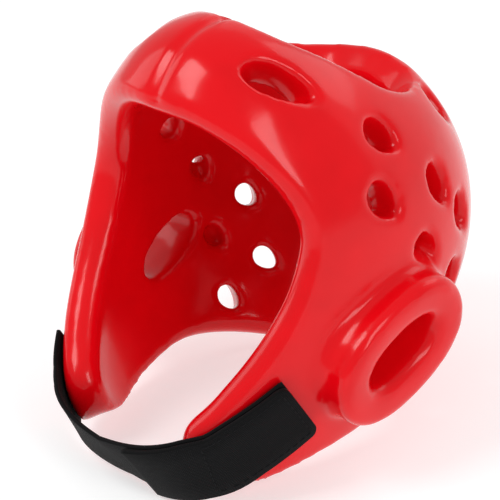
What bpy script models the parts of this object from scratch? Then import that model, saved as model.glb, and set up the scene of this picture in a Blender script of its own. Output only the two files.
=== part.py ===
"""Dipped-foam sparring headgear: padded shell with a face opening, crown opening and
vents, two thick oval ear rings, and an elastic chin strap with a doubled end.

Metres. The headgear is modelled as worn, x to the wearer's left, y to the back, z up,
z = 0 near the cheeks' tips. An empty then leans the whole thing
back to the pose in which it rests on a table, on its jaw edges and its nape.
"""
import math
import bmesh
import bpy
from mathutils import Matrix, Vector

# Driving dimensions of the shell
SHELL_LENGTH = 0.216        # brow to back of the head, outside
SHELL_WIDTH = 0.175         # over the temples, without the ear rings
DOME_HEIGHT = 0.104         # widest level up to the crown
SKIRT_DEPTH = 0.162         # widest level down to the pole of the lower half
WIDE_LEVEL = 0.140          # height of the widest level
AXIS_FORWARD = 0.011        # middle of the plan lies this far in front of y = 0
WALL = 0.019                # foam thickness
EDGE_ROUND = 0.0065         # rounding of the dipped edges
PLAN_POWER = 2.12           # 2 is an ellipse, more is squarer
GAP = 0.0003                # clearance between pieces that touch

# Vents
VENT_LENGTH = 0.0250
VENT_WIDTH = 0.0165
BROW_VENT_LENGTH = 0.044
BROW_VENT_WIDTH = 0.0180
VENT_FUNNEL = 0.58          # share of the outer size that a vent has inside the wall

# Ear rings
EAR_LENGTH = 0.085
EAR_WIDTH = 0.062
EAR_HOLE_LENGTH = 0.044
EAR_HOLE_WIDTH = 0.022
EAR_PROUD = 0.0155          # face of the ring in front of the shell at its middle
EAR_FLARE = 0.004           # face outline larger than the root
EAR_ROUND = 0.007
EAR_LEVEL = 0.105           # height of the hole's middle
EAR_BACK = -0.0035          # hole's middle in front of y = 0
EAR_LEAN = 36.0             # long axis leans back at the top, degrees
EAR_TILT = 7.0              # face turned down from the side, degrees
EAR_TOE = 2.0               # face turned to the back, degrees

# Chin strap
STRAP_WIDTH = 0.038
STRAP_THICK = 0.0022
PATCH_THICK = 0.0030
PATCH_LENGTH = 0.088
STRAP_LIFT = 0.0004         # clearance of the strap to the cheek
STRAP_SAG = 0.010           # middle of the strap below the cheeks' tips
STRAP_SHORT = 6             # stations by which the right end is shorter than the left

REST_PITCH = 28.7           # degrees

# Cross sections of the shell by latitude: shares of half width and half length
SECTION_FIELDS = ("latitude", "width", "front", "back")
SECTIONS = (
    (-60, 0.50, 0.42, 0.46),
    (-45, 0.70, 0.71, 0.66),
    (-30, 0.85, 0.89, 0.86),
    (-15, 0.95, 0.975, 0.965),
    (0, 1.00, 1.01, 1.00),
    (15, 0.97, 1.02, 0.985),
    (30, 0.87, 1.00, 0.90),
    (45, 0.71, 0.94, 0.74),
    (60, 0.49, 0.76, 0.52),
    (75, 0.24, 0.41, 0.27),
    (90, 0.00, 0.00, 0.00),
)

# Columns of the shell from the brow round to the nape, in degrees: where each leaves
# the crown opening, where it passes the waist, and where it meets the outer edge
COLUMN_FIELDS = ("crown_lat", "crown_lon", "waist_lat", "waist_lon", "edge_lat", "edge_lon")
COLUMNS = (
    (64.0, 0, 44, 0, 23.5, 0),
    (63.5, 14, 43, 20, 23.0, 18),
    (62.5, 28, 39, 42, 19.0, 36),
    (61.0, 42, 33, 58, 12.0, 50),
    (59.0, 58, 24, 70, 3.0, 58.5),
    (56.0, 72, 12, 79, -9.0, 61),
    (53.0, 84, -2, 86, -21.0, 57),
    (54.0, 96, -13, 88, -33.0, 48.5),
    (57.0, 108, -22, 88, -42.0, 39),
    (60.0, 120, -26, 92, -49.0, 43),
    (63.0, 131, -25, 98, -50.0, 60),
    (65.5, 141, -18, 106, -46.0, 77),
    (67.5, 150, -8, 116, -38.5, 92),
    (69.0, 160, 4, 130, -30.0, 112),
    (70.0, 170, 12, 152, -25.5, 142),
    (70.5, 180, 15, 180, -24.0, 180),
)

# Vents of the wearer's left side, mirrored to the right, in degrees; the round end
# points along turn, 90 being straight up the shell
VENT_FIELDS = ("name", "lat", "lon", "turn", "kind")
VENTS = (
    ("brow", 43.9, 43.6, 171, "brow"),
    ("side_high", 35.6, 78.7, 161, "plain"),
    ("side_low", 17.6, 79.9, 156, "plain"),
    ("rear_side_high", 25.4, 100.7, 138, "plain"),
    ("rear_side_low", 6.2, 98.3, 147, "plain"),
    ("back_high", 51.0, 122.0, 125, "plain"),
    ("back_mid", 18.5, 117.0, 145, "plain"),
    ("back_low", 0.6, 119.5, 158, "plain"),
    ("nape_front", -9.0, 111.2, 154, "plain"),
    ("nape_back", -10.6, 133.2, 157, "plain"),
    ("nape_low", -20.3, 123.2, 147, "plain"),
)

# Route of the strap's middle line on the wearer's left, in degrees on the shell, from
# the doubled end to where it leaves the cheek's tip
STRAP_FIELDS = ("lat", "lon")
STRAP_ROUTE = (
    (-26.5, 73.5),
    (-32.0, 68.0),
    (-37.5, 61.5),
    (-42.5, 54.5),
    (-46.0, 44.5),
)

COLUMN_STEPS = 3            # mesh columns between two listed ones
ROW_STEPS = 9               # mesh rows from the crown opening to the edge
DOME_SIDES = 80
STRAP_STEPS = 4             # stations of the strap between two listed ones
FREE_STEPS = 7              # stations from the cheek's tip to the strap's middle
VENT_SIDES = 14
OVAL_SIDES = 28
OVAL_POWER = 2.25
TAPER = 0.45                # how much narrower a vent is at its pointed end


def field(rows, names, name):
    """One named column of a table."""
    place = names.index(name)
    return [row[place] for row in rows]


def smooth_value(keys, values, key):
    """Catmull-Rom value through the listed ones."""
    last = len(keys) - 1
    if key <= keys[0]:
        return values[0]
    if key >= keys[last]:
        return values[last]
    low = max(i for i in range(last) if keys[i] <= key)
    span = keys[low + 1] - keys[low]
    t = (key - keys[low]) / span

    def slope(i):
        before, after = max(i - 1, 0), min(i + 1, last)
        return (values[after] - values[before]) / (keys[after] - keys[before])

    h1 = (1 + 2 * t) * (1 - t) ** 2
    h2 = t * (1 - t) ** 2
    h3 = t * t * (3 - 2 * t)
    h4 = t * t * (t - 1)
    return h1 * values[low] + h2 * span * slope(low) + h3 * values[low + 1] + h4 * span * slope(low + 1)


SECTION_LATS = field(SECTIONS, SECTION_FIELDS, "latitude")
SECTION_WIDTHS = field(SECTIONS, SECTION_FIELDS, "width")
SECTION_FRONTS = field(SECTIONS, SECTION_FIELDS, "front")
SECTION_BACKS = field(SECTIONS, SECTION_FIELDS, "back")


def shell_point(lat, lon):
    """Point of the shell's outside; lon 0 is the brow, 90 the wearer's left."""
    half_width = smooth_value(SECTION_LATS, SECTION_WIDTHS, lat) * SHELL_WIDTH / 2
    front = smooth_value(SECTION_LATS, SECTION_FRONTS, lat) * SHELL_LENGTH / 2
    back = smooth_value(SECTION_LATS, SECTION_BACKS, lat) * SHELL_LENGTH / 2
    side, ahead = math.sin(math.radians(lon)), math.cos(math.radians(lon))
    reach = front if ahead >= 0 else back
    power = 2 / PLAN_POWER
    x = math.copysign(abs(side) ** power, side) * half_width
    y = -AXIS_FORWARD - math.copysign(abs(ahead) ** power, ahead) * reach
    rise = DOME_HEIGHT if lat >= 0 else SKIRT_DEPTH
    return Vector((x, y, WIDE_LEVEL + rise * math.sin(math.radians(lat))))


def shell_frame(lat, lon, step=1.5):
    """Point, outward normal, and the directions of growing lon and lat."""
    point = shell_point(lat, lon)
    along = (shell_point(lat, lon + step) - shell_point(lat, lon - step)).normalized()
    up = (shell_point(lat + step, lon) - shell_point(lat - step, lon)).normalized()
    normal = along.cross(up).normalized()
    up = normal.cross(along).normalized()
    return point, normal, along, up


def material(name, color, roughness, metallic=0.0):
    made = bpy.data.materials.new(name)
    made.use_nodes = True
    shader = made.node_tree.nodes["Principled BSDF"]
    shader.inputs["Base Color"].default_value = (*color, 1.0)
    shader.inputs["Roughness"].default_value = roughness
    shader.inputs["Metallic"].default_value = metallic
    return made


def mesh_object(name, verts, faces, collection, look=None):
    mesh = bpy.data.meshes.new(name)
    mesh.from_pydata([tuple(v) for v in verts], [], faces)
    shaped = bmesh.new()
    shaped.from_mesh(mesh)
    bmesh.ops.remove_doubles(shaped, verts=shaped.verts, dist=1e-6)
    bmesh.ops.recalc_face_normals(shaped, faces=shaped.faces)
    shaped.to_mesh(mesh)
    shaped.free()
    made = bpy.data.objects.new(name, mesh)
    collection.objects.link(made)
    if look:
        mesh.materials.append(look)
        mesh.shade_smooth()
        mesh.set_sharp_from_angle(angle=math.radians(40))
    return made


def as_cutter(made):
    made.hide_render = True
    made.display_type = "WIRE"
    return made


def cut(body, cutter, name):
    boolean = body.modifiers.new(name, "BOOLEAN")
    boolean.operation = "DIFFERENCE"
    boolean.solver = "EXACT"
    boolean.object = cutter


def loft(rings, closed_ends=True):
    """Vertices and faces of closed rings joined in order, capped if asked."""
    count = len(rings[0])
    verts = [p for ring in rings for p in ring]
    faces = []
    for r in range(len(rings) - 1):
        for i in range(count):
            j = (i + 1) % count
            faces.append((r * count + i, r * count + j, (r + 1) * count + j, (r + 1) * count + i))
    if closed_ends:
        faces.append(tuple(range(count)))
        faces.append(tuple(range((len(rings) - 1) * count, len(rings) * count)))
    return verts, faces


def build_shell(collection, look):
    """Left half as a grid from the crown opening to the edge, mirrored and thickened."""
    keys = list(range(len(COLUMNS)))
    table = {name: field(COLUMNS, COLUMN_FIELDS, name) for name in COLUMN_FIELDS}
    columns = (len(COLUMNS) - 1) * COLUMN_STEPS + 1
    verts, faces = [], []
    for c in range(columns):
        at = {name: smooth_value(keys, table[name], c / COLUMN_STEPS) for name in COLUMN_FIELDS}
        for r in range(ROW_STEPS + 1):
            t = r / ROW_STEPS
            # quadratic through crown, waist (at half way) and edge
            crown, waist, edge = (1 - t) * (1 - 2 * t), 4 * t * (1 - t), t * (2 * t - 1)
            lat = crown * at["crown_lat"] + waist * at["waist_lat"] + edge * at["edge_lat"]
            lon = crown * at["crown_lon"] + waist * at["waist_lon"] + edge * at["edge_lon"]
            point = shell_point(lat, lon)
            if c in (0, columns - 1):
                point.x = 0.0
            verts.append(point)
    rows = ROW_STEPS + 1
    for c in range(columns - 1):
        for r in range(ROW_STEPS):
            a = c * rows + r
            faces.append((a, a + 1, a + rows + 1, a + rows))
    shell = mesh_object("head_shell", verts, faces, collection, look)
    mesh = shell.data
    middle = sum((f.normal.dot(f.center - Vector((0, 0, WIDE_LEVEL))) for f in mesh.polygons))
    if middle < 0:
        mesh.flip_normals()
    mirror = shell.modifiers.new("other_side", "MIRROR")
    mirror.use_axis[0] = True
    mirror.merge_threshold = 0.0001
    solid = shell.modifiers.new("foam", "SOLIDIFY")
    solid.thickness = WALL
    solid.offset = -1.0
    solid.use_even_offset = False
    bevel = shell.modifiers.new("dipped_edges", "BEVEL")
    bevel.width = EDGE_ROUND
    bevel.segments = 2
    bevel.limit_method = "ANGLE"
    bevel.angle_limit = math.radians(50)
    return shell


def teardrop(length, width):
    """Outline round at +x and pointed at -x, centred."""
    points = []
    for i in range(VENT_SIDES):
        angle = 2 * math.pi * i / VENT_SIDES
        taper = 1 - TAPER * (1 - math.cos(angle)) / 2
        points.append((length / 2 * math.cos(angle), width / 2 * math.sin(angle) * taper))
    return points


def build_vent_cutters(collection):
    verts, faces = [], []
    for name, lat, lon, turn, kind in VENTS:
        length = BROW_VENT_LENGTH if kind == "brow" else VENT_LENGTH
        width = BROW_VENT_WIDTH if kind == "brow" else VENT_WIDTH
        point, normal, along, up = shell_frame(lat, lon)
        ahead = along * math.cos(math.radians(turn)) + up * math.sin(math.radians(turn))
        across = normal.cross(ahead)
        for side in (1, -1):
            rings = []
            for depth in (-1.8 * WALL, -WALL, 0.5 * WALL):
                size = max(1 + (1 - VENT_FUNNEL) * depth / WALL, VENT_FUNNEL)
                ring = []
                for a, b in teardrop(length, width):
                    p = point + (ahead * a + across * b) * size + normal * depth
                    ring.append(Vector((p.x * side, p.y, p.z)))
                rings.append(ring)
            ring_verts, ring_faces = loft(rings)
            base = len(verts)
            verts += ring_verts
            faces += [tuple(base + i for i in f) for f in ring_faces]
    return as_cutter(mesh_object("vent_cutters", verts, faces, collection))


def ear_frame(side):
    """Middle of the ring's face, its normal, long axis and short axis."""
    tilt, toe, lean = (math.radians(a) for a in (EAR_TILT, EAR_TOE, EAR_LEAN))
    normal = Vector((math.cos(tilt) * math.cos(toe), math.cos(tilt) * math.sin(toe), -math.sin(tilt)))
    long_axis = Vector((0, math.sin(lean), math.cos(lean)))
    long_axis = (long_axis - normal * long_axis.dot(normal)).normalized()
    short_axis = normal.cross(long_axis)
    root = Vector((ear_reach(), EAR_BACK, EAR_LEVEL))
    face = root + normal * EAR_PROUD

    def flip(v):
        return Vector((v.x * side, v.y, v.z))
    return flip(face), flip(normal), flip(long_axis), flip(short_axis)


def ear_reach():
    """Half width of the shell's outside at the middle of the ear hole."""
    lat = math.degrees(math.asin((EAR_LEVEL - WIDE_LEVEL) / SKIRT_DEPTH))
    best = min(range(60, 130), key=lambda lon: abs(shell_point(lat, lon).y - EAR_BACK))
    return shell_point(lat, best).x


def oval(center, long_axis, short_axis, length, width):
    ring = []
    for i in range(OVAL_SIDES):
        angle = 2 * math.pi * i / OVAL_SIDES
        c, s = math.cos(angle), math.sin(angle)
        a = math.copysign(abs(c) ** (2 / OVAL_POWER), c) * length / 2
        b = math.copysign(abs(s) ** (2 / OVAL_POWER), s) * width / 2
        ring.append(center + long_axis * a + short_axis * b)
    return ring


def build_dome_cutter(collection, name, clearance):
    """Closed body of the shell's outside, grown by the clearance."""
    lats = [-75 + 7.5 * i for i in range(23)]
    rings = []
    for lat in lats[:-1]:
        ring = []
        for i in range(DOME_SIDES):
            lon = 360 * i / (DOME_SIDES)
            point, normal, along, up = shell_frame(lat, lon)
            ring.append(point + normal * clearance)
        rings.append(ring)
    verts, faces = loft(rings)
    return as_cutter(mesh_object(name, verts, faces, collection))


def build_ear_ring(name, side, collection, look, dome):
    """Thick oval ring whose back is cut to the shell."""
    face, normal, long_axis, short_axis = ear_frame(side)
    depth = EAR_PROUD + WALL
    outer = ((-depth, -EAR_FLARE * 2), (-EAR_ROUND * 1.6, 0.0), (-EAR_ROUND * 0.5, EAR_FLARE * 0.3),
             (0.0, -EAR_ROUND))
    inner = ((0.0, EAR_ROUND * 0.8), (-EAR_ROUND * 0.6, 0.0), (-depth, -0.002))
    rings = []
    for shift, grow in outer:
        rings.append(oval(face + normal * shift, long_axis, short_axis, EAR_LENGTH + grow,
                          EAR_WIDTH + grow))
    for shift, grow in inner:
        rings.append(oval(face + normal * shift, long_axis, short_axis, EAR_HOLE_LENGTH + grow,
                          EAR_HOLE_WIDTH + grow))
    rings.append(rings[0])
    verts, faces = loft(rings, closed_ends=False)
    ring = mesh_object(name, verts, faces, collection, look)
    cut(ring, dome, "seat_on_shell")
    return ring


def build_ear_hole_cutters(collection):
    """Holes through the shell behind the two rings."""
    verts, faces = [], []
    for side in (1, -1):
        face, normal, long_axis, short_axis = ear_frame(side)
        rings = [oval(face + normal * shift, long_axis, short_axis, EAR_HOLE_LENGTH - 0.002,
                      EAR_HOLE_WIDTH - 0.002) for shift in (-EAR_PROUD - 3 * WALL, WALL)]
        ring_verts, ring_faces = loft(rings)
        base = len(verts)
        verts += ring_verts
        faces += [tuple(base + i for i in f) for f in ring_faces]
    return as_cutter(mesh_object("ear_hole_cutters", verts, faces, collection))


def strap_line():
    """Middle points and outward normals of the whole strap, left end to right end."""
    keys = list(range(len(STRAP_ROUTE)))
    lats = field(STRAP_ROUTE, STRAP_FIELDS, "lat")
    lons = field(STRAP_ROUTE, STRAP_FIELDS, "lon")
    half = []
    for i in range(STRAP_STEPS * (len(STRAP_ROUTE) - 1) + 1):
        key = i / STRAP_STEPS
        lat, lon = smooth_value(keys, lats, key), smooth_value(keys, lons, key)
        point, normal, along, up = shell_frame(lat, lon)
        half.append((point + normal * (STRAP_LIFT + STRAP_THICK / 2), normal))
    tip, tip_normal = half[-1]
    under = []
    low = Vector((0.0, tip.y - 0.004, tip.z - STRAP_SAG))
    leave = (half[-1][0] - half[-2][0]).normalized() * tip.x
    for i in range(1, FREE_STEPS + 1):
        t = i / FREE_STEPS
        h1, h2 = (1 + 2 * t) * (1 - t) ** 2, t * (1 - t) ** 2
        h3, h4 = t * t * (3 - 2 * t), t * t * (t - 1)
        point = tip * h1 + leave * h2 + low * h3 + Vector((-tip.x, 0, 0)) * h4
        normal = tip_normal.lerp(Vector((0, -0.45, -0.9)).normalized(), t).normalized()
        under.append((point, normal))
    left = half + under
    mirrored = reversed(left[STRAP_SHORT:-1])
    right = [(Vector((-p.x, p.y, p.z)), Vector((-n.x, n.y, n.z))) for p, n in mirrored]
    return left + right


def ribbon(line, width, thick, lift):
    """Closed band along a line of points and normals."""
    rings = []
    for i, (point, normal) in enumerate(line):
        before = line[max(i - 1, 0)][0]
        after = line[min(i + 1, len(line) - 1)][0]
        along = (after - before).normalized()
        across = normal.cross(along).normalized()
        out = along.cross(across).normalized()
        middle = point + out * lift
        ring = []
        for a, b in ((-1, -1), (0, -1), (1, -1), (1, 1), (0, 1), (-1, 1)):
            ring.append(middle + across * (a * width / 2) + out * (b * thick / 2))
        rings.append(ring)
    return loft(rings)


def build_strap(collection, look):
    verts, faces = ribbon(strap_line(), STRAP_WIDTH, STRAP_THICK, 0.0)
    return mesh_object("chin_strap", verts, faces, collection, look)


def build_patch(collection, look):
    """Doubled end of the strap on the wearer's left."""
    line = strap_line()
    part, length = [line[0]], 0.0
    for i in range(1, len(line)):
        length += (line[i][0] - line[i - 1][0]).length
        if length > PATCH_LENGTH:
            break
        part.append(line[i])
    lift = STRAP_THICK / 2 + 2 * GAP + PATCH_THICK / 2
    verts, faces = ribbon(part, STRAP_WIDTH, PATCH_THICK, lift)
    return mesh_object("strap_patch", verts, faces, collection, look)


def lowest_and_middle(pieces):
    graph = bpy.context.evaluated_depsgraph_get()
    corners = []
    for piece in pieces:
        seen = piece.evaluated_get(graph)
        mesh = seen.to_mesh()
        corners += [seen.matrix_world @ v.co for v in mesh.vertices]
        seen.to_mesh_clear()
    low = min(c.z for c in corners)
    middle = (min(c.y for c in corners) + max(c.y for c in corners)) / 2
    return low, middle


def main():
    for old in list(bpy.data.objects):
        bpy.data.objects.remove(old)
    parts = bpy.data.collections.new("sparring_headgear")
    cutters = bpy.data.collections.new("cutters")
    bpy.context.scene.collection.children.link(parts)
    bpy.context.scene.collection.children.link(cutters)
    red = material("dipped_foam_red", (0.72, 0.005, 0.012), 0.16)
    black = material("elastic_webbing_black", (0.008, 0.008, 0.010), 0.8)

    shell = build_shell(parts, red)
    cut(shell, build_vent_cutters(cutters), "vents")
    cut(shell, build_ear_hole_cutters(cutters), "ear_holes")
    dome = build_dome_cutter(cutters, "shell_outside", GAP)
    pieces = [shell]
    pieces.append(build_ear_ring("ear_ring_left", 1, parts, red, dome))
    pieces.append(build_ear_ring("ear_ring_right", -1, parts, red, dome))
    pieces.append(build_strap(parts, black))
    pieces.append(build_patch(parts, black))

    rest = bpy.data.objects.new("rest_pose", None)
    parts.objects.link(rest)
    for piece in pieces + list(cutters.objects):
        piece.parent = rest
    rest.rotation_euler = (-math.radians(REST_PITCH), 0, 0)
    bpy.context.view_layer.update()
    low, middle = lowest_and_middle(pieces)
    rest.location = (0, -middle, -low)
    bpy.context.view_layer.update()


main()
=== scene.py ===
# %% [markdown]
# # A sparring head guard in dipped foam
# The real guard is one moulded piece of soft closed-cell foam that was dipped in liquid
# vinyl, so every edge is round and the whole skin is glossy. An elastic strap goes under
# the chin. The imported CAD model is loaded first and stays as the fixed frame: each new
# piece is made in its metres and stands exactly where its solid stands.

# %% Load the frame
import math

import bmesh
import bpy
import numpy as np
from mathutils import Matrix, Vector


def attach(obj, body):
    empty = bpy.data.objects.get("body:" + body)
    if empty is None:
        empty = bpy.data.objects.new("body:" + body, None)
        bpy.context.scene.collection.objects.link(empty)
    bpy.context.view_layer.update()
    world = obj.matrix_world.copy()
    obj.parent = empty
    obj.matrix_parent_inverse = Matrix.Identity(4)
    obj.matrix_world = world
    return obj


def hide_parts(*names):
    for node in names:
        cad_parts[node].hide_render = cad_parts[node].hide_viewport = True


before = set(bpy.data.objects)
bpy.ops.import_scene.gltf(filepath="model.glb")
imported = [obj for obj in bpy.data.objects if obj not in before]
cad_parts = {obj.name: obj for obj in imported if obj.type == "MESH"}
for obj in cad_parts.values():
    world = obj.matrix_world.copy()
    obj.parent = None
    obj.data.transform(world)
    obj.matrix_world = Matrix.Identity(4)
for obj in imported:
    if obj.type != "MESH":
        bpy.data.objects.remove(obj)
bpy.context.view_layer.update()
print("CAD nodes:", sorted(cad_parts))

# %% [markdown]
# ## The camera
# The camera comes first, so that each later step can be judged in the final picture. Its
# direction, roll and distance were fitted to landmarks such as the vents and the ear ring.
# A long lens keeps the perspective as flat as a product photograph's.

# %% Camera at the photograph's angle
CAMERA_AZIMUTH = math.radians(46.18)    # from the front towards the wearer's left
CAMERA_HEIGHT = math.radians(27.36)
CAMERA_ROLL = math.radians(-3.25)
CAMERA_AIM = Vector((-0.0093, 0.0013, 0.0883))
CAMERA_DISTANCE = 1.335
CAMERA_LENS = 191.8


def camera_turn(azimuth, height, roll):
    """Rotation of a camera that looks back along the given direction, rolled about it."""
    back = Vector((
        math.sin(azimuth) * math.cos(height),
        -math.cos(azimuth) * math.cos(height),
        math.sin(height),
    ))
    level = Vector((math.cos(azimuth), math.sin(azimuth), 0))
    upright = back.cross(level)
    right = level * math.cos(roll) + upright * math.sin(roll)
    up = upright * math.cos(roll) - level * math.sin(roll)
    return Matrix((right, up, back)).transposed()


turn = camera_turn(CAMERA_AZIMUTH, CAMERA_HEIGHT, CAMERA_ROLL)
bpy.ops.object.select_all(action="DESELECT")
bpy.ops.object.camera_add()
camera = bpy.context.object
camera.name = "photo_camera"
camera.matrix_world = turn.to_4x4()
camera.location = CAMERA_AIM + turn.col[2] * CAMERA_DISTANCE
camera.data.lens = CAMERA_LENS
camera.data.sensor_width = 36
camera.data.clip_end = 20
bpy.context.scene.camera = camera
print("camera at", [round(v, 3) for v in camera.location])

# %% [markdown]
# ## Floor and backdrop
# The photograph is cut out on white. A pale floor that sweeps up into a backdrop gives
# the same white and still lets the headgear stand on something. The sweep is a plane
# whose far edge is extruded upwards and whose corner is then bevelled round. The paper
# gives off a little light of its own, so the red foam tints it less.

# %% Pale sweep
SWEEP_SIZE = 7.0
SWEEP_RISE = 4.0
SWEEP_BEND = 1.2             # size of the rounded corner
FLOOR_LEVEL = 0.0034         # the dipped skin's rounded edges rest this high


def select_edges(mesh, choose):
    """In edit mode: select only the edges that the test accepts."""
    shaped = bmesh.from_edit_mesh(mesh)
    for part in (shaped.verts, shaped.edges, shaped.faces):
        for element in part:
            element.select = False
    for edge in shaped.edges:
        if choose(edge):
            edge.select_set(True)
    bmesh.update_edit_mesh(mesh)


def at_far_edge(vertex):
    """True on the sweep's edge behind the headgear."""
    return vertex.co.y > SWEEP_SIZE * 0.49


bpy.ops.mesh.primitive_plane_add(size=SWEEP_SIZE)
bpy.context.object.location.z = FLOOR_LEVEL
bpy.ops.object.transform_apply(location=True)
sweep = bpy.context.object
sweep.name = "pale_floor"
bpy.ops.object.mode_set(mode="EDIT")
bpy.ops.mesh.select_mode(type="EDGE")
select_edges(sweep.data, lambda e: all(at_far_edge(v) for v in e.verts))
bpy.ops.mesh.extrude_region_move(TRANSFORM_OT_translate={"value": (0, 0, SWEEP_RISE)})
select_edges(sweep.data, lambda e: all(at_far_edge(v) and v.co.z < SWEEP_RISE / 2 for v in e.verts))
bpy.ops.mesh.bevel(offset=SWEEP_BEND, segments=16, affect="EDGES")
bpy.ops.object.mode_set(mode="OBJECT")
bpy.ops.object.shade_smooth()
print("sweep:", len(sweep.data.polygons), "faces")

# %% Pale floor finish
floor_look = bpy.data.materials.new("pale_matte_paper")
floor_look.use_nodes = True
floor_shader = floor_look.node_tree.nodes["Principled BSDF"]
floor_shader.inputs["Base Color"].default_value = (0.60, 0.60, 0.60, 1)
floor_shader.inputs["Roughness"].default_value = 0.9
floor_shader.inputs["Emission Color"].default_value = (1, 1, 1, 1)
floor_shader.inputs["Emission Strength"].default_value = 0.5
sweep.data.materials.append(floor_look)

# %% [markdown]
# ## Soft studio light
# Gloss is drawn by what it reflects. Large softboxes give the vinyl its broad pale
# patches: one over the brow, one on the wearer's left that runs down the temple, and a
# weaker one on the far side. The white world fills the shadows.

# %% Softboxes and world


def softbox(name, place, aim, width, height, power):
    """Area light that looks at a point."""
    bpy.ops.object.select_all(action="DESELECT")
    bpy.ops.object.light_add(type="AREA", location=place)
    box = bpy.context.object
    box.name = name
    box.data.shape = "RECTANGLE"
    box.data.size = width
    box.data.size_y = height
    box.data.energy = power
    box.rotation_euler = (Vector(aim) - Vector(place)).to_track_quat("-Z", "Y").to_euler()
    return box


LIT_POINT = (0, 0, 0.12)
softbox("softbox_over_brow", (-0.5, -1.2, 1.9), LIT_POINT, 0.9, 0.9, 19)
softbox("softbox_left_temple", (1.9, -0.5, 1.2), LIT_POINT, 0.6, 1.3, 14)
softbox("softbox_far_side", (-1.8, -0.6, 0.9), LIT_POINT, 0.8, 1.4, 5)
softbox("softbox_behind", (0.4, 1.8, 1.5), LIT_POINT, 1.4, 1.0, 6)

world = bpy.data.worlds.new("white_studio")
world.use_nodes = True
world.node_tree.nodes["Background"].inputs["Color"].default_value = (1, 1, 1, 1)
world.node_tree.nodes["Background"].inputs["Strength"].default_value = 0.50
bpy.context.scene.world = world
bpy.context.scene.view_settings.view_transform = "Standard"

# %% [markdown]
# ## The head form
# The shell's outside follows a head: rounder than a ball, longer than it is wide. It is
# described in degrees of latitude and longitude, with the share of the half width and
# half length that each level has. The same values shaped the CAD solid, so the soft piece
# lies in the same place, only smoother.

# %% Head form values
SHELL_LENGTH = 0.216
SHELL_WIDTH = 0.175
DOME_HEIGHT = 0.104
SKIRT_DEPTH = 0.162
WIDE_LEVEL = 0.140
AXIS_FORWARD = 0.011
PLAN_POWER = 2.12
WALL = 0.019
REST_PITCH = math.radians(28.7)
REST_SHIFT = Vector((0, -0.049514, -0.023009))

# latitude, share of half width, of the front's length, of the back's length
SECTIONS = np.array((
    (-60, 0.50, 0.42, 0.46),
    (-45, 0.70, 0.71, 0.66),
    (-30, 0.85, 0.89, 0.86),
    (-15, 0.95, 0.975, 0.965),
    (0, 1.00, 1.01, 1.00),
    (15, 0.97, 1.02, 0.985),
    (30, 0.87, 1.00, 0.90),
    (45, 0.71, 0.94, 0.74),
    (60, 0.49, 0.76, 0.52),
    (75, 0.24, 0.41, 0.27),
    (90, 0.00, 0.00, 0.00),
))

# %% Smooth values and points on the head form


def smooth_values(keys, values, at):
    """Catmull-Rom values through the listed ones, for many places at once."""
    keys = np.asarray(keys, float)
    values = np.asarray(values, float)
    at = np.clip(np.asarray(at, float), keys[0], keys[-1])
    before = np.maximum(np.arange(len(keys)) - 1, 0)
    after = np.minimum(np.arange(len(keys)) + 1, len(keys) - 1)
    slopes = (values[after] - values[before]) / (keys[after] - keys[before])
    low = np.clip(np.searchsorted(keys, at, side="right") - 1, 0, len(keys) - 2)
    span = keys[low + 1] - keys[low]
    t = (at - keys[low]) / span
    start = (1 + 2 * t) * (1 - t) ** 2 * values[low] + t * (1 - t) ** 2 * span * slopes[low]
    end = t * t * (3 - 2 * t) * values[low + 1] + t * t * (t - 1) * span * slopes[low + 1]
    return start + end


def signed_power(value, power):
    return np.sign(value) * np.abs(value) ** power


def head_points(lat, lon):
    """Points of the shell's outside as worn; lon 0 is the brow, 90 the wearer's left."""
    half_width, front, back = (
        smooth_values(SECTIONS[:, 0], SECTIONS[:, i], lat) / 2 for i in (1, 2, 3)
    )
    side, ahead = np.sin(np.radians(lon)), np.cos(np.radians(lon))
    reach = np.where(ahead >= 0, front, back) * SHELL_LENGTH
    x = signed_power(side, 2 / PLAN_POWER) * half_width * SHELL_WIDTH
    y = -AXIS_FORWARD - signed_power(ahead, 2 / PLAN_POWER) * reach
    rise = np.where(np.asarray(lat) >= 0, DOME_HEIGHT, SKIRT_DEPTH)
    z = WIDE_LEVEL + rise * np.sin(np.radians(lat))
    return np.stack(np.broadcast_arrays(x, y, z), axis=-1)


def unit(vectors):
    return vectors / np.maximum(np.linalg.norm(vectors, axis=-1, keepdims=True), 1e-12)


def head_frame(lat, lon, step=1.5):
    """Points, outward normals, and the directions of growing lon and lat."""
    lat, lon = np.asarray(lat, float), np.asarray(lon, float)
    along = unit(head_points(lat, lon + step) - head_points(lat, lon - step))
    up = unit(head_points(lat + step, lon) - head_points(lat - step, lon))
    normal = unit(np.cross(along, up))
    return head_points(lat, lon), normal, along, unit(np.cross(normal, along))


def to_rest(points):
    """From the worn pose to the pose on the table: leaned back, then dropped."""
    points = np.asarray(points, float)
    c, s = math.cos(REST_PITCH), math.sin(REST_PITCH)
    y = points[..., 1] * c + points[..., 2] * s + REST_SHIFT.y
    z = -points[..., 1] * s + points[..., 2] * c + REST_SHIFT.z
    return np.stack((points[..., 0], y, z), axis=-1)


print("brow at rest:", to_rest(head_points(23.5, 0.0)).round(4))

# %% [markdown]
# ## The foam shell
# On the real thing the wall is a thick slab of foam with fully rounded rims. A plain
# Solidify would give it square edges, so the wall is drawn as what it is: a rounded bar
# that is bent over the head at each of many columns, from the crown opening down to the
# outer edge. The columns join into one closed ring of quads.

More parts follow.
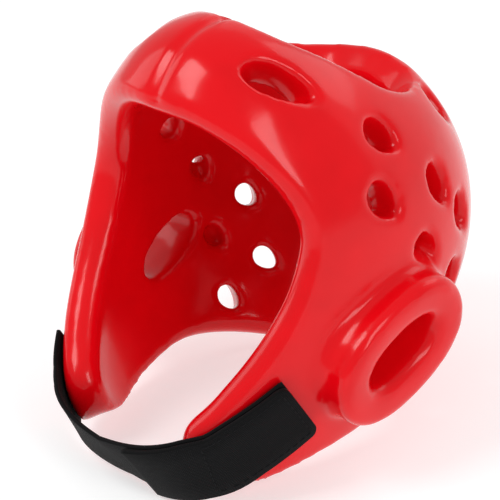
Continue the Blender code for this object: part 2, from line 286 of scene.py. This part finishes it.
# %% Columns and rims
# where each column leaves the crown opening, passes the waist, and meets the outer edge:
# latitude and longitude of each
COLUMNS = np.array((
    (64.0, 0, 44, 0, 23.5, 0),
    (63.5, 14, 43, 20, 23.0, 18),
    (62.5, 28, 39, 42, 19.0, 36),
    (61.0, 42, 33, 58, 12.0, 50),
    (59.0, 58, 24, 70, 3.0, 58.5),
    (56.0, 72, 12, 79, -9.0, 61),
    (53.0, 84, -2, 86, -21.0, 57),
    (54.0, 96, -13, 88, -33.0, 48.5),
    (57.0, 108, -22, 88, -42.0, 39),
    (60.0, 120, -26, 92, -49.0, 43),
    (63.0, 131, -25, 98, -50.0, 60),
    (65.5, 141, -18, 106, -46.0, 77),
    (67.5, 150, -8, 116, -38.5, 92),
    (69.0, 160, 4, 130, -30.0, 112),
    (70.0, 170, 12, 152, -25.5, 142),
    (70.5, 180, 15, 180, -24.0, 180),
))
COLUMN_STEPS = 6
CROWN_ROUND = 0.0040
EDGE_ROUND = 0.0080
BAR_STATIONS = 36
CORNER_STATIONS = 6


def bar_outline(length, wall, crown_round, edge_round):
    """Closed outline of the wall's section: distance from the crown rim, and depth."""
    places = []

    def corner(along, depth, radius, start):
        for i in range(CORNER_STATIONS + 1):
            angle = math.radians(start + 90 * i / CORNER_STATIONS)
            places.append((along + radius * math.cos(angle), depth + radius * math.sin(angle)))

    def straight(start, end, depth):
        for along in np.linspace(start, end, BAR_STATIONS)[1:-1]:
            places.append((along, depth))

    corner(crown_round, crown_round, crown_round, 180)
    straight(crown_round, length - edge_round, 0.0)
    corner(length - edge_round, edge_round, edge_round, 270)
    corner(length - edge_round, wall - edge_round, edge_round, 0)
    straight(length - edge_round, crown_round, wall)
    corner(crown_round, wall - crown_round, crown_round, 90)
    return np.array(places)


def column_section(key):
    """The bent bar of one column, as worn."""
    lat_top, lon_top, lat_waist, lon_waist, lat_edge, lon_edge = (
        smooth_values(np.arange(len(COLUMNS)), COLUMNS[:, i], key) for i in range(6)
    )
    t = np.linspace(0, 1, 61)
    top, waist, edge = (1 - t) * (1 - 2 * t), 4 * t * (1 - t), t * (2 * t - 1)
    lat = top * lat_top + waist * lat_waist + edge * lat_edge
    lon = top * lon_top + waist * lon_waist + edge * lon_edge
    points, normals, _, _ = head_frame(lat, lon)
    reach = np.concatenate(([0], np.cumsum(np.linalg.norm(np.diff(points, axis=0), axis=1))))
    outline = bar_outline(reach[-1], WALL, CROWN_ROUND, EDGE_ROUND)
    spot = np.stack([np.interp(outline[:, 0], reach, points[:, i]) for i in range(3)], axis=1)
    normal = unit(np.stack([np.interp(outline[:, 0], reach, normals[:, i]) for i in range(3)], axis=1))
    return spot - normal * outline[:, 1:2]


def mesh_piece(name, points, faces):
    """Object from points and faces, doubles merged and faces turned outwards."""
    mesh = bpy.data.meshes.new(name)
    mesh.from_pydata([tuple(p) for p in points], [], [tuple(f) for f in faces])
    shaped = bmesh.new()
    shaped.from_mesh(mesh)
    bmesh.ops.remove_doubles(shaped, verts=shaped.verts, dist=1e-6)
    bmesh.ops.recalc_face_normals(shaped, faces=shaped.faces)
    shaped.to_mesh(mesh)
    shaped.free()
    piece = bpy.data.objects.new(name, mesh)
    bpy.context.scene.collection.objects.link(piece)
    return piece


def ring_faces(rings, sides, closed=False):
    """Quads between rings of points that are stored one after the other."""
    faces = []
    for r in range(rings if closed else rings - 1):
        low, high = r * sides, ((r + 1) % rings) * sides
        for i in range(sides):
            j = (i + 1) % sides
            faces.append((low + i, low + j, high + j, high + i))
    return faces


steps = (len(COLUMNS) - 1) * COLUMN_STEPS
left = [column_section(c / COLUMN_STEPS) for c in range(steps + 1)]
for middle in (left[0], left[-1]):
    middle[:, 0] = 0.0
right = [section * (-1, 1, 1) for section in reversed(left[1:-1])]
sections = left + right
shell = mesh_piece(
    "foam_shell",
    to_rest(np.concatenate(sections)),
    ring_faces(len(sections), len(sections[0]), closed=True),
)
print("shell wall:", len(shell.data.polygons), "quads")

# %% [markdown]
# ## Vents and ear holes
# The vents are teardrops with a round and a pointed end, cut right through the foam.
# Each is a tube along the wall's normal, taken away with a Boolean. The ear holes are
# longer tubes behind the rings.

# %% Teardrop cutters
VENT_LENGTH = 0.0250
VENT_WIDTH = 0.0165
BROW_VENT_LENGTH = 0.044
BROW_VENT_WIDTH = 0.018
# latitude, longitude, direction of the round end (90 is up the shell), brow size or not
VENTS = (
    (43.9, 43.6, 171, True),
    (35.6, 78.7, 161, False),
    (17.6, 79.9, 156, False),
    (25.4, 100.7, 138, False),
    (6.2, 98.3, 147, False),
    (51.0, 122.0, 125, False),
    (18.5, 117.0, 145, False),
    (0.6, 119.5, 158, False),
    (-9.0, 111.2, 154, False),
    (-10.6, 133.2, 157, False),
    (-20.3, 123.2, 147, False),
)
VENT_SIDES = 32
# depth of each ring of the tube, and how much larger the outline is there
TUBE_RINGS = ((0.009, 1.15), (0.000, 1.00), (-0.004, 0.90), (-0.019, 0.58), (-0.034, 0.58))


def teardrop(length, width):
    """Outline with its round end at +x and its point at -x."""
    angle = np.linspace(0, 2 * np.pi, VENT_SIDES, endpoint=False)
    taper = np.abs(np.cos(angle / 2)) ** 0.62
    across = np.sin(angle) * taper
    across = across / across.max() * width / 2
    return np.stack((np.cos(angle) * length / 2, across), axis=1)


def vent_tubes():
    points, faces = [], []
    for lat, lon, turn, brow in VENTS:
        size = (BROW_VENT_LENGTH, BROW_VENT_WIDTH) if brow else (VENT_LENGTH, VENT_WIDTH)
        spot, normal, along, up = head_frame(lat, lon)
        ahead = along * math.cos(math.radians(turn)) + up * math.sin(math.radians(turn))
        across = np.cross(normal, ahead)
        drop = teardrop(*size)
        rings = [spot + normal * depth + scale * (drop[:, :1] * ahead + drop[:, 1:] * across)
                 for depth, scale in TUBE_RINGS]
        for mirror in ((1, 1, 1), (-1, 1, 1)):
            base = sum(len(p) for p in points)
            sides = ring_faces(len(rings), VENT_SIDES)
            last = (len(rings) - 1) * VENT_SIDES
            ends = [tuple(range(VENT_SIDES)), tuple(range(last, last + VENT_SIDES))]
            faces += [tuple(base + i for i in face) for face in sides + ends]
            points.append(np.concatenate(rings) * mirror)
    return np.concatenate(points), faces


# %% Ear ring values
EAR_LENGTH = 0.085
EAR_WIDTH = 0.062
EAR_HOLE_LENGTH = 0.044
EAR_HOLE_WIDTH = 0.022
EAR_PROUD = 0.0155
EAR_LEVEL = 0.105
EAR_BACK = -0.0035
EAR_LEAN = math.radians(36)
EAR_TILT = math.radians(7)
EAR_TOE = math.radians(2)
OVAL_SIDES = 72
OVAL_POWER = 2.25


def ear_frame():
    """Middle of the left ring's face, its normal, long axis and short axis, as worn."""
    normal = np.array((
        math.cos(EAR_TILT) * math.cos(EAR_TOE),
        math.cos(EAR_TILT) * math.sin(EAR_TOE),
        -math.sin(EAR_TILT),
    ))
    long_axis = np.array((0, math.sin(EAR_LEAN), math.cos(EAR_LEAN)))
    long_axis = unit(long_axis - normal * long_axis.dot(normal))
    lat = math.degrees(math.asin((EAR_LEVEL - WIDE_LEVEL) / SKIRT_DEPTH))
    level = head_points(np.full(70, lat), np.arange(60.0, 130.0))
    reach = level[np.abs(level[:, 1] - EAR_BACK).argmin(), 0]
    face = np.array((reach, EAR_BACK, EAR_LEVEL)) + normal * EAR_PROUD
    return face, normal, long_axis, np.cross(normal, long_axis)


def oval(length, width, depth):
    """One ring of the ear's outline at a depth behind the face."""
    face, normal, long_axis, short_axis = ear_frame()
    angle = np.linspace(0, 2 * np.pi, OVAL_SIDES, endpoint=False)
    a = signed_power(np.cos(angle), 2 / OVAL_POWER)[:, None] * length / 2
    b = signed_power(np.sin(angle), 2 / OVAL_POWER)[:, None] * width / 2
    return face - normal * depth + long_axis * a + short_axis * b


# %% Cut the vents and the ear holes


def boolean_cut(piece, points, faces):
    cutter = mesh_piece("cutter", points, faces)
    cut = piece.modifiers.new("cut", "BOOLEAN")
    cut.operation = "DIFFERENCE"
    cut.solver = "EXACT"
    cut.object = cutter
    bpy.ops.object.select_all(action="DESELECT")
    bpy.context.view_layer.objects.active = piece
    bpy.ops.object.modifier_apply(modifier=cut.name)
    bpy.data.objects.remove(cutter)


vent_points, vent_faces = vent_tubes()
boolean_cut(shell, to_rest(vent_points), vent_faces)
for mirror in ((1, 1, 1), (-1, 1, 1)):
    tube = np.concatenate([oval(EAR_HOLE_LENGTH - 0.002, EAR_HOLE_WIDTH - 0.002, depth)
                           for depth in (-0.01, 0.08)]) * mirror
    ends = [tuple(range(OVAL_SIDES)), tuple(range(OVAL_SIDES, 2 * OVAL_SIDES))]
    boolean_cut(shell, to_rest(tube), ring_faces(2, OVAL_SIDES) + ends)
print("shell with openings:", len(shell.data.polygons), "faces")

# %% [markdown]
# ## Ear rings
# Each ear has a thick oval ring of the same foam. Its section is drawn once as a list
# of depths and outline sizes: the root inside the wall, the straight side, the rounded
# rim, the slightly dished face, and the rounded mouth of the hole.

# %% Ring sections
# depth behind the face, and growth of the outer outline
RING_OUTSIDE = (
    (0.0300, 0.0120),
    (0.0220, 0.0070),
    (0.0160, 0.0015),
    (0.0120, -0.0010),
    (0.0090, 0.0000),
    (0.0060, 0.0015),
    (0.0030, 0.0005),
    (0.0009, -0.0030),
    (0.0000, -0.0080),
)
# depth behind the face, and growth of the hole's outline
RING_INSIDE = (
    (0.0004, 0.0120),
    (0.0010, 0.0080),
    (0.0026, 0.0042),
    (0.0055, 0.0015),
    (0.0095, 0.0000),
    (0.0320, -0.0020),
)


def ear_ring_points():
    rings = [oval(EAR_LENGTH + grow, EAR_WIDTH + grow, depth) for depth, grow in RING_OUTSIDE]
    rings += [oval(EAR_HOLE_LENGTH + grow, EAR_HOLE_WIDTH + grow, depth) for depth, grow in RING_INSIDE]
    return np.concatenate(rings), len(rings)


ring_points, ring_count = ear_ring_points()
rings = [
    mesh_piece("ear_ring", to_rest(ring_points * mirror), ring_faces(ring_count, OVAL_SIDES, closed=True))
    for mirror in ((1, 1, 1), (-1, 1, 1))
]

# %% [markdown]
# ## One skin over everything
# Dipping joins shell and rings under one skin that fills the inner corners. A voxel
# remesh does the same: it turns all that overlaps into one closed surface. Smoothing
# afterwards rounds each edge, as the thick liquid did.

# %% Remesh and round
SKIN_VOXEL = 0.00172         # small enough for the rims, and under 200,000 triangles
SKIN_PASSES = 24


def apply_modifier(piece, kind, **settings):
    """Adds one modifier, sets it, and applies it."""
    made = piece.modifiers.new(kind.lower(), kind)
    for name, value in settings.items():
        setattr(made, name, value)
    bpy.ops.object.select_all(action="DESELECT")
    bpy.context.view_layer.objects.active = piece
    piece.select_set(True)
    bpy.ops.object.modifier_apply(modifier=made.name)


bpy.ops.object.select_all(action="DESELECT")
for part in rings + [shell]:
    part.select_set(True)
bpy.context.view_layer.objects.active = shell
bpy.ops.object.join()
apply_modifier(shell, "REMESH", mode="VOXEL", voxel_size=SKIN_VOXEL)
apply_modifier(shell, "SMOOTH", factor=0.5, iterations=SKIN_PASSES)
# %% [markdown]
# ## The crease in the forehead
# The mould's halves meet along the middle of the forehead and leave a shallow crease
# from the brow up to the crown opening. The skin's points near the middle are pushed in
# along their own normals, most at the middle and nothing a few millimetres away.

# %% Push the crease in
CREASE_DEPTH = 0.0016
CREASE_REACH = 0.0034
CREASE_FRONT = 0.01          # only the forehead lies in front of this
CREASE_LOW = 0.165
OUTWARD = unit(np.array((0, -0.5, 0.87)))


def press_crease(piece):
    count = len(piece.data.vertices)
    points, normals = np.empty(count * 3), np.empty(count * 3)
    piece.data.vertices.foreach_get("co", points)
    piece.data.vertices.foreach_get("normal", normals)
    points, normals = points.reshape(-1, 3), normals.reshape(-1, 3)
    outside = (points[:, 1] < CREASE_FRONT) & (points[:, 2] > CREASE_LOW)
    outside &= normals @ OUTWARD > 0.3
    share = np.exp(-(points[:, 0] / CREASE_REACH) ** 2) * outside
    points -= normals * (share * CREASE_DEPTH)[:, None]
    piece.data.vertices.foreach_set("co", points.ravel())
    piece.data.update()
    return int((share > 0.1).sum())


print("crease moved", press_crease(shell), "points")

# %% Name the skin
shell.name = "foam_headgear"
shell.data.name = "foam_headgear"
shell.data.shade_smooth()
print("skin:", len(shell.data.polygons), "quads")

# %% [markdown]
# ## The chin strap
# The strap is flat elastic webbing. It starts on the wearer's left cheek, runs under the
# chin and ends on the right cheek, and its left end is doubled by a hook-and-loop tab.
# A remesh would eat anything so thin, so it is a ribbon: a band of quads along a route,
# with a UV map in metres for its ribs. The doubled end lies on it and has round corners.

# %% Route of the strap
STRAP_WIDTH = 0.038
STRAP_THICK = 0.0022
STRAP_LIFT = 0.0004
STRAP_SAG = 0.010
STRAP_SHORT = 12             # stations by which the right end is shorter
CHEEK_STATIONS = 33
FREE_STATIONS = 25
PATCH_THICK = 0.0030
PATCH_LENGTH = 0.088
PATCH_GAP = 0.0006
STRAP_ROUTE = np.array((
    (-26.5, 73.5),
    (-32.0, 68.0),
    (-37.5, 61.5),
    (-42.5, 54.5),
    (-46.0, 44.5),
))


def strap_line():
    """Points and outward normals of the whole strap as worn, left end to right end."""
    keys = np.arange(len(STRAP_ROUTE))
    at = np.linspace(0, len(STRAP_ROUTE) - 1, CHEEK_STATIONS)
    lat, lon = (smooth_values(keys, STRAP_ROUTE[:, i], at) for i in (0, 1))
    spot, normal, _, _ = head_frame(lat, lon)
    spot = spot + normal * (STRAP_LIFT + STRAP_THICK / 2)
    tip = spot[-1]
    low = np.array((0.0, tip[1] - 0.004, tip[2] - STRAP_SAG))
    leave = unit(spot[-1] - spot[-3]) * tip[0]
    t = np.linspace(0, 1, FREE_STATIONS)[1:, None]
    free = tip * (1 + 2 * t) * (1 - t) ** 2 + leave * t * (1 - t) ** 2
    free = free + low * t * t * (3 - 2 * t) + np.array((-tip[0], 0, 0)) * t * t * (t - 1)
    down = unit(np.array((0, -0.45, -0.9)))
    free_normal = unit(normal[-1] * (1 - t) + down * t)
    spot, normal = np.concatenate((spot, free)), np.concatenate((normal, free_normal))
    flip = np.array((-1, 1, 1))
    right_spot = spot[STRAP_SHORT:-1][::-1] * flip
    right_normal = normal[STRAP_SHORT:-1][::-1] * flip
    return np.concatenate((spot, right_spot)), np.concatenate((normal, right_normal))


strap_spots, strap_normals = strap_line()
strap_reach = np.concatenate(([0], np.cumsum(np.linalg.norm(np.diff(strap_spots, axis=0), axis=1))))
print("strap length:", round(float(strap_reach[-1]), 4))

# %% Ribbon with a rounded edge and a UV map in metres
# across the ribbon, as shares of half width and half thickness
RIBBON_OUTLINE = (
    (-1.0, 0.0), (-0.985, -0.7), (-0.96, -1.0), (-0.5, -1.0), (0.0, -1.0), (0.5, -1.0),
    (0.96, -1.0), (0.985, -0.7), (1.0, 0.0), (0.985, 0.7), (0.96, 1.0), (0.5, 1.0),
    (0.0, 1.0), (-0.5, 1.0), (-0.96, 1.0), (-0.985, 0.7),
)


def rounded_start(reach, corner, width):
    """Half widths that round off the corners at the band's start."""
    inset = np.clip(corner - reach, 0, corner)
    return width / 2 - corner + np.sqrt(np.maximum(corner ** 2 - inset ** 2, 0))


def resampled(spots, normals, reach, places):
    spot = np.stack([np.interp(places, reach, spots[:, i]) for i in range(3)], axis=1)
    normal = unit(np.stack([np.interp(places, reach, normals[:, i]) for i in range(3)], axis=1))
    return spot, normal


def ribbon(name, spots, normals, width, thick, lift, corner=0.0003):
    along = unit(np.gradient(spots, axis=0))
    across = unit(np.cross(normals, along))
    out = unit(np.cross(along, across))
    reach = np.concatenate(([0], np.cumsum(np.linalg.norm(np.diff(spots, axis=0), axis=1))))
    middle = spots + out * lift
    half = rounded_start(reach, corner, width)
    outline = np.array(RIBBON_OUTLINE)
    rings = (middle[:, None]
             + across[:, None] * outline[None, :, :1] * half[:, None, None]
             + out[:, None] * outline[None, :, 1:] * thick / 2)
    sides = len(outline)
    faces = ring_faces(len(spots), sides)
    last = (len(spots) - 1) * sides
    faces += [tuple(range(sides)), tuple(range(last, last + sides))]
    piece = mesh_piece(name, to_rest(rings.reshape(-1, 3)), faces)
    lay = piece.data.uv_layers.new(name="band")
    for loop in piece.data.loops:
        ring, place = divmod(loop.vertex_index, sides)
        lay.data[loop.index].uv = (reach[ring], outline[place, 0] * width / 2)
    piece.data.shade_smooth()
    return piece


strap = ribbon("elastic_strap", strap_spots, strap_normals, STRAP_WIDTH, STRAP_THICK, 0.0)
patch_lift = STRAP_THICK / 2 + PATCH_GAP + PATCH_THICK / 2
PATCH_CORNER = 0.005
near_end = PATCH_CORNER * (1 - np.cos(np.linspace(0.12, math.pi / 2, 8)))
patch_places = np.concatenate((near_end, np.linspace(PATCH_CORNER, PATCH_LENGTH, 40)[1:]))
patch_spots, patch_normals = resampled(strap_spots, strap_normals, strap_reach, patch_places)
patch = ribbon(
    "doubled_strap_end", patch_spots, patch_normals, STRAP_WIDTH, PATCH_THICK, patch_lift, PATCH_CORNER
)
print("strap:", len(strap.data.polygons), "faces; doubled end:", len(patch.data.polygons), "faces")

# %% [markdown]
# ## Stitches
# A row of stitches runs along the folded end and both edges of the doubled part, and
# one more row crosses it where the fold's flap stops. One stitch is modelled from a cube
# with bevelled edges, and its mesh is then copied along the rows.

# %% One stitch
STITCH_LENGTH = 0.0026
STITCH_PITCH = 0.0038
STITCH_THICK = 0.0006
STITCH_INSET = 0.0036        # rows' distance from the edges
STITCH_FLAP = 0.052          # cross row's distance from the end

bpy.ops.object.select_all(action="DESELECT")
bpy.ops.mesh.primitive_cube_add(size=1)
stitch = bpy.context.object
bpy.ops.object.mode_set(mode="EDIT")
bpy.ops.transform.resize(value=(STITCH_LENGTH, STITCH_THICK, STITCH_THICK))
bpy.ops.mesh.bevel(offset=STITCH_THICK * 0.3, segments=1, affect="EDGES")
bpy.ops.object.mode_set(mode="OBJECT")
print("one stitch:", len(stitch.data.polygons), "faces")

# %% Rows of stitches


def band_frame(reach, across):
    """Place on top of the doubled end, with its directions along, across and out."""
    ends = np.array((reach - 0.001, reach, reach + 0.001)).clip(0, PATCH_LENGTH)
    spot, normal = resampled(strap_spots, strap_normals, strap_reach, ends)
    along = unit(spot[2] - spot[0])
    side = unit(np.cross(normal[1], along))
    out = unit(np.cross(along, side))
    top = patch_lift + PATCH_THICK / 2
    return spot[1] + side * across + out * top, along, side, out


def row(start, end):
    """Even stitch places from one (reach, across) to another, with their direction."""
    start, end = np.array(start), np.array(end)
    length = np.linalg.norm(end - start)
    count = int(length / STITCH_PITCH)
    return [(start + (end - start) * (i + 0.5) / count, (end - start) / length) for i in range(count)]


edge = STRAP_WIDTH / 2 - STITCH_INSET
stitch_places = (
    row((STITCH_INSET, -edge), (STITCH_INSET, edge))
    + row((STITCH_INSET, edge), (STITCH_FLAP, edge))
    + row((STITCH_INSET, -edge), (STITCH_FLAP, -edge))
    + row((STITCH_FLAP, -edge), (STITCH_FLAP, edge))
)
copies = []
for (reach, across), heading in stitch_places:
    spot, along, side, out = band_frame(reach, across)
    ahead = along * heading[0] + side * heading[1]
    beside = np.cross(out, ahead)
    axes = Matrix([to_rest(v) - to_rest(np.zeros(3)) for v in (ahead, beside, out)]).transposed()
    copy = bpy.data.objects.new("stitch", stitch.data.copy())
    copy.data.transform(Matrix.Translation(to_rest(spot)) @ axes.to_4x4())
    bpy.context.scene.collection.objects.link(copy)
    copies.append(copy)
bpy.data.objects.remove(stitch)
bpy.ops.object.select_all(action="DESELECT")
for copy in copies:
    copy.select_set(True)
bpy.context.view_layer.objects.active = copies[0]
bpy.ops.object.join()
stitches = bpy.context.object
stitches.name = "strap_stitches"
print("stitches:", len(stitch_places))

# %% [markdown]
# ## Finishes
# Dipped vinyl is a smooth, deep red skin under a clear gloss. It is never perfectly
# even: the film has a faint orange peel and slow waves where it ran. The colour itself
# is a touch darker where the film gathers. Object coordinates hold the pattern in place.

# %% Red dipped vinyl
FOAM_RED = (0.74, 0.0012, 0.0055, 1)
FOAM_RED_DEEP = (0.64, 0.0008, 0.0038, 1)


def new_look(name):
    look = bpy.data.materials.new(name)
    look.use_nodes = True
    return look, look.node_tree.nodes, look.node_tree.links, look.node_tree.nodes["Principled BSDF"]


vinyl, nodes, links, shader = new_look("dipped_vinyl_red")
place = nodes.new("ShaderNodeTexCoord")
tone = nodes.new("ShaderNodeTexNoise")
tone.inputs["Scale"].default_value = 22
tone.inputs["Detail"].default_value = 3
links.new(place.outputs["Object"], tone.inputs["Vector"])
colour = nodes.new("ShaderNodeMix")
colour.data_type = "RGBA"
colour.inputs["A"].default_value = FOAM_RED_DEEP
colour.inputs["B"].default_value = FOAM_RED
tone_range = nodes.new("ShaderNodeMapRange")
tone_range.inputs["From Min"].default_value = 0.25
tone_range.inputs["From Max"].default_value = 0.55
links.new(tone.outputs["Fac"], tone_range.inputs["Value"])
links.new(tone_range.outputs["Result"], colour.inputs["Factor"])
links.new(colour.outputs["Result"], shader.inputs["Base Color"])

# %% Orange peel and slow waves of the skin
peel = nodes.new("ShaderNodeTexNoise")
peel.inputs["Scale"].default_value = 420
peel.inputs["Detail"].default_value = 1
waves = nodes.new("ShaderNodeTexNoise")
waves.inputs["Scale"].default_value = 38
waves.inputs["Detail"].default_value = 2
for noise in (peel, waves):
    links.new(place.outputs["Object"], noise.inputs["Vector"])
peel_bump = nodes.new("ShaderNodeBump")
peel_bump.inputs["Strength"].default_value = 0.05
peel_bump.inputs["Distance"].default_value = 0.0004
wave_bump = nodes.new("ShaderNodeBump")
wave_bump.inputs["Strength"].default_value = 0.10
wave_bump.inputs["Distance"].default_value = 0.0030
links.new(peel.outputs["Fac"], peel_bump.inputs["Height"])
links.new(waves.outputs["Fac"], wave_bump.inputs["Height"])
links.new(peel_bump.outputs["Normal"], wave_bump.inputs["Normal"])
links.new(wave_bump.outputs["Normal"], shader.inputs["Normal"])
rough_range = nodes.new("ShaderNodeMapRange")
rough_range.inputs["To Min"].default_value = 0.12
rough_range.inputs["To Max"].default_value = 0.22
links.new(waves.outputs["Fac"], rough_range.inputs["Value"])
links.new(rough_range.outputs["Result"], shader.inputs["Roughness"])
shader.inputs["Specular IOR Level"].default_value = 0.22
shader.inputs["Coat Weight"].default_value = 0.12
shader.inputs["Coat Roughness"].default_value = 0.06
shell.data.materials.clear()
shell.data.materials.append(vinyl)

# %% [markdown]
# ## The strap's finish
# Elastic webbing is woven from dull black threads over rubber cords, so it shows fine
# ribs along its length and hardly any gloss. Two waves on the band's own UV map, one
# along and one across, are multiplied into a weave that shades the colour and the bump.

# %% Black ribbed webbing
webbing, nodes, links, shader = new_look("ribbed_elastic_black")
uv = nodes.new("ShaderNodeUVMap")
uv.uv_map = "band"
ribs = nodes.new("ShaderNodeTexWave")
ribs.wave_type = "BANDS"
ribs.bands_direction = "Y"
ribs.inputs["Scale"].default_value = 320
threads = nodes.new("ShaderNodeTexWave")
threads.wave_type = "BANDS"
threads.bands_direction = "X"
threads.inputs["Scale"].default_value = 420
for wave in (ribs, threads):
    links.new(uv.outputs["UV"], wave.inputs["Vector"])
weave = nodes.new("ShaderNodeMath")
weave.operation = "MULTIPLY"
links.new(ribs.outputs["Fac"], weave.inputs[0])
links.new(threads.outputs["Fac"], weave.inputs[1])
weave_bump = nodes.new("ShaderNodeBump")
weave_bump.inputs["Strength"].default_value = 0.6
weave_bump.inputs["Distance"].default_value = 0.0004
links.new(weave.outputs["Value"], weave_bump.inputs["Height"])
links.new(weave_bump.outputs["Normal"], shader.inputs["Normal"])
thread_colour = nodes.new("ShaderNodeMix")
thread_colour.data_type = "RGBA"
thread_colour.inputs["A"].default_value = (0.0012, 0.0012, 0.0015, 1)
thread_colour.inputs["B"].default_value = (0.005, 0.005, 0.006, 1)
links.new(weave.outputs["Value"], thread_colour.inputs["Factor"])
links.new(thread_colour.outputs["Result"], shader.inputs["Base Color"])
shader.inputs["Roughness"].default_value = 0.75
shader.inputs["Specular IOR Level"].default_value = 0.12
shader.inputs["Sheen Weight"].default_value = 0.02
for piece in (strap, patch):
    piece.data.materials.append(webbing)

# %% Sewing thread
thread, nodes, links, shader = new_look("black_sewing_thread")
shader.inputs["Base Color"].default_value = (0.005, 0.005, 0.006, 1)
shader.inputs["Roughness"].default_value = 0.8
shader.inputs["Specular IOR Level"].default_value = 0.2
stitches.data.materials.append(thread)

# %% [markdown]
# ## Hand the pieces to the frame
# Each piece says which body carries it and which solids it stands for, and those solids
# are hidden.

# %% Ride and replace
for piece, solids, slot in (
    (shell, ("head_shell", "ear_ring_left", "ear_ring_right"), "dipped_foam"),
    (strap, ("chin_strap",), "elastic_webbing"),
    (patch, ("strap_patch",), "strap_end"),
):
    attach(piece, "root")
    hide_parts(*solids)
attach(stitches, "root")
